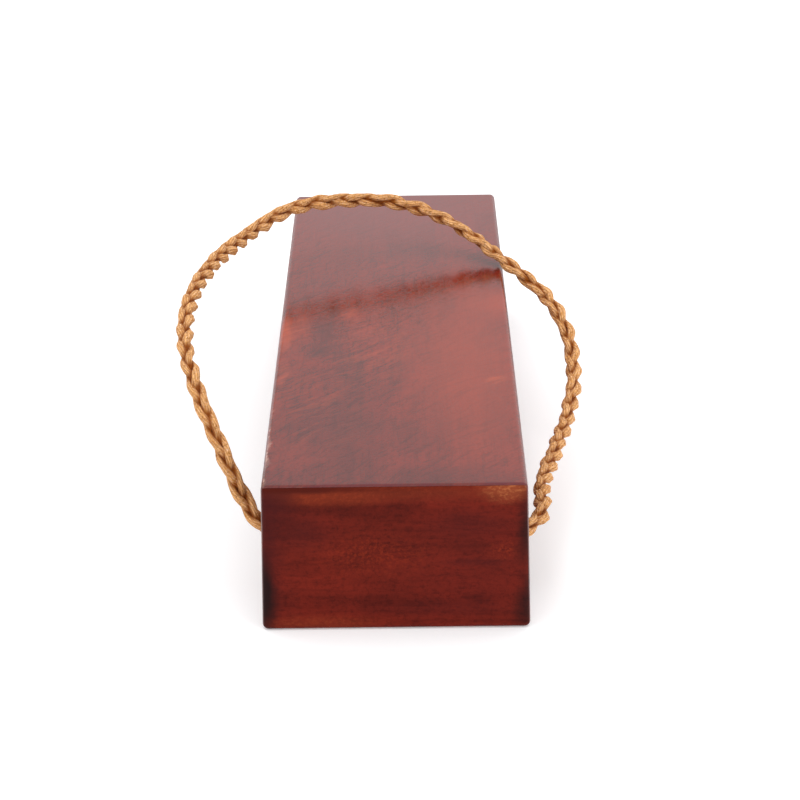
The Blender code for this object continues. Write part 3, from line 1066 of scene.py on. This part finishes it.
CORD_LIGHT = (0.96, 0.53, 0.21)
CORD_MID = (0.74, 0.33, 0.085)
# Painted shade in the valleys between the yarns.
CORD_VALLEY_SHADE = (0.42, 0.125, 0.008)
# Painted highlight: pale peach glints on some fibres.
CORD_PEACH_HIGHLIGHT = (1.0, 0.83, 0.82)
CORD_FLECK = (0.34, 0.10, 0.006)
# Painted shade, darkest deep in the plait's hollows.
CORD_HOLLOW_SHADE = (0.29, 0.068, 0.004)
YARNS = 9  # round each strand
YARN_TURNS = 34.0  # of the yarns round the strand, per metre
YARN_TANGLE = 8.0  # radians by which the yarns stray
YARN_RELIEF = 0.00022
HOLLOW_RISE = 0.48  # the share of the cord's radius where the painted shade in a hollow is darkest
OPEN_RISE = 0.88  # and where it ends
CORD_ROUGHNESS = 0.78
CORD_SPECULAR = 0.15
CORD_SHEEN = 0.05
CORD_SHEEN_ROUGHNESS = 0.5
PEACH_HIGHLIGHT_SHARE = 0.60
VALLEY_SHADE_SHARE = 0.55
FLECK_SHARE = 0.65
THREADS = Pattern(1.0, 3, 0.6, 0.0, 0.38, 0.62)
THREADS_STRETCH = (240.0, 24.0, 1.0)  # changes per metre along a strand and per turn round it
FIBRES_STRETCH = (1300.0, 60.0, 1.0)
TANGLE_STRETCH = (420.0, 16.0, 1.0)
FLECKS = Pattern(1500, 3, 0.6, 0.0, 0.54, 0.63)


def cord_material():
    """Fine golden yarns with painted peach highlights on some fibres, and painted shade between the
    yarns and in the plait's hollows, which leaves their crests lighter.
    """
    graph = Graph("plaited_cord_looks")
    uv = graph.node("ShaderNodeUVMap", uv_map="strand").outputs["UV"]
    tangle = graph.noise(graph.vector("MULTIPLY", uv, TANGLE_STRETCH), 1.0, 3, 0.6)
    rate = (2 * math.pi * YARNS * YARN_TURNS, 2 * math.pi * YARNS, 0.0)
    turn = graph.node("ShaderNodeVectorMath", {0: uv, 1: rate}, operation="DOT_PRODUCT")
    strayed = graph.math("MULTIPLY_ADD", tangle, YARN_TANGLE, turn.outputs["Value"])
    wave = graph.math("SINE", strayed)
    fibre = graph.noise(graph.vector("MULTIPLY", uv, FIBRES_STRETCH), 1.0, 4, 0.65)
    thread = graph.pattern(graph.vector("MULTIPLY", uv, THREADS_STRETCH), THREADS)
    rise = graph.node("ShaderNodeAttribute", attribute_name="rise").outputs["Fac"]
    tan = graph.mix(thread, CORD_MID, CORD_LIGHT)
    # Painted highlight: pale peach glints on some fibres.
    tan = graph.mix(graph.ramp(fibre, 0.50, 0.68, 0.0, PEACH_HIGHLIGHT_SHARE), tan, CORD_PEACH_HIGHLIGHT)
    # Painted shade in the valleys between the yarns.
    tan = graph.mix(graph.ramp(wave, -0.95, -0.1, VALLEY_SHADE_SHARE, 0.0), tan, CORD_VALLEY_SHADE)
    # Painted shade in the plait's hollows, where a point lies low towards the cord's line.
    colour = graph.mix(graph.ramp(rise, HOLLOW_RISE, OPEN_RISE), CORD_HOLLOW_SHADE, tan)
    fleck = graph.pattern(graph.place, FLECKS, 0.0, FLECK_SHARE)
    colour = graph.mix(fleck, colour, CORD_FLECK)
    graph.feed(graph.shader.inputs["Base Color"], colour)
    graph.shader.inputs["Roughness"].default_value = CORD_ROUGHNESS
    graph.shader.inputs["Specular IOR Level"].default_value = CORD_SPECULAR
    graph.shader.inputs["Sheen Weight"].default_value = CORD_SHEEN
    graph.shader.inputs["Sheen Roughness"].default_value = CORD_SHEEN_ROUGHNESS
    height = graph.math("MULTIPLY_ADD", wave, 0.5, fibre)
    graph.feed(graph.shader.inputs["Normal"], graph.bump(height, YARN_RELIEF, 0.9))
    return graph.material


# ---------------------------------------------------------------- studio


FLOOR_HALF = 6.0
FLOOR_COLOUR = (0.93, 0.93, 0.93, 1.0)
FLOOR_GLOW_COLOUR = (1.0, 1.0, 1.0, 1.0)
FLOOR_GLOW = 0.18
FLOOR_ROUGHNESS = 0.9
FLOOR_SPECULAR = 0.1
SURROUND_COLOUR = (0.97, 0.985, 1.0, 1.0)
SURROUND_STRENGTH = 0.85
LIT_POINT = (0, 0, 0.02)
# A light's name, place, width in metres and power in watts.
SOFTBOX = ("softbox", (-0.25, 0.1, 1.4), 1.6, 10.0)
FILL = ("fill", (0.9, -0.6, 0.8), 0.8, 3.5)


def add_camera():
    """The camera, at the photograph's place and angle, with depth of field off."""
    yaw, pitch, roll = CAMERA_YAW, CAMERA_PITCH, CAMERA_ROLL
    ahead = Vector(
        (
            math.sin(yaw) * math.cos(pitch),
            math.cos(yaw) * math.cos(pitch),
            -math.sin(pitch),
        )
    )
    level = Vector((math.cos(yaw), -math.sin(yaw), 0))
    above = level.cross(ahead)
    right = math.cos(roll) * level + math.sin(roll) * above
    up = math.cos(roll) * above - math.sin(roll) * level
    data = bpy.data.cameras.new("camera")
    data.lens = LENS
    data.clip_start = CAMERA_NEAREST
    camera = bpy.data.objects.new("camera", data)
    axes = Matrix((right, up, -ahead)).transposed()
    camera.matrix_world = Matrix.Translation(CAMERA_PLACE) @ axes.to_4x4()
    bpy.context.scene.collection.objects.link(camera)
    bpy.context.scene.camera = camera


def add_light(name, place, size, power):
    """A round soft light that faces the object."""
    data = bpy.data.lights.new(name, "AREA")
    data.shape = "DISK"
    data.size = size
    data.energy = power
    lamp = bpy.data.objects.new(name, data)
    lamp.location = place
    lamp.rotation_euler = (Vector(LIT_POINT) - Vector(place)).to_track_quat("-Z", "Y").to_euler()
    bpy.context.scene.collection.objects.link(lamp)
    return lamp


def add_studio():
    """A pale floor in a white surround, with a large soft light above and a smaller one."""
    bm = bmesh.new()
    bmesh.ops.create_grid(bm, x_segments=8, y_segments=8, size=FLOOR_HALF)
    floor = from_bmesh("floor", bm)
    graph = Graph("pale_floor")
    graph.shader.inputs["Base Color"].default_value = FLOOR_COLOUR
    graph.shader.inputs["Emission Color"].default_value = FLOOR_GLOW_COLOUR
    graph.shader.inputs["Emission Strength"].default_value = FLOOR_GLOW
    graph.shader.inputs["Roughness"].default_value = FLOOR_ROUGHNESS
    graph.shader.inputs["Specular IOR Level"].default_value = FLOOR_SPECULAR
    floor.data.materials.append(graph.material)
    world = bpy.data.worlds.new("surround")
    world.use_nodes = True
    background = world.node_tree.nodes["Background"]
    background.inputs["Color"].default_value = SURROUND_COLOUR
    background.inputs["Strength"].default_value = SURROUND_STRENGTH
    bpy.context.scene.world = world
    softbox = add_light(*SOFTBOX)
    softbox.visible_glossy = False  # the photograph's varnish shows no such highlight
    add_light(*FILL)
    bpy.context.scene.view_settings.view_transform = "Standard"


# ---------------------------------------------------------------- assembly


def stand_for(obj, node, body, material):
    """Makes the object stand for a CAD node, on its body and with its finish."""
    obj.data.materials.clear()
    obj.data.materials.append(material)
    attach(obj, body)
    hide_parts(node)


def assemble():
    """Builds every piece, and says which CAD node it stands for and which body it rides."""
    fibre = cord_material()
    rope = build_cord()
    stand_for(rope, "rope_handle", "handle", fibre)
    knots = []
    for name, side in (("left_knot", -1), ("right_knot", 1)):
        knots.append(build_knot(name, side))
        stand_for(knots[-1], name, "handle", fibre)
    [tuple(point) for point in even(cord_line(), PATH_STEP)[0]]
    for name, obj in build_boards().items():
        stand_for(obj, name, "box", stained_wood(name + "_stain", LOOKS[name]))


add_camera()
assemble()
add_studio()
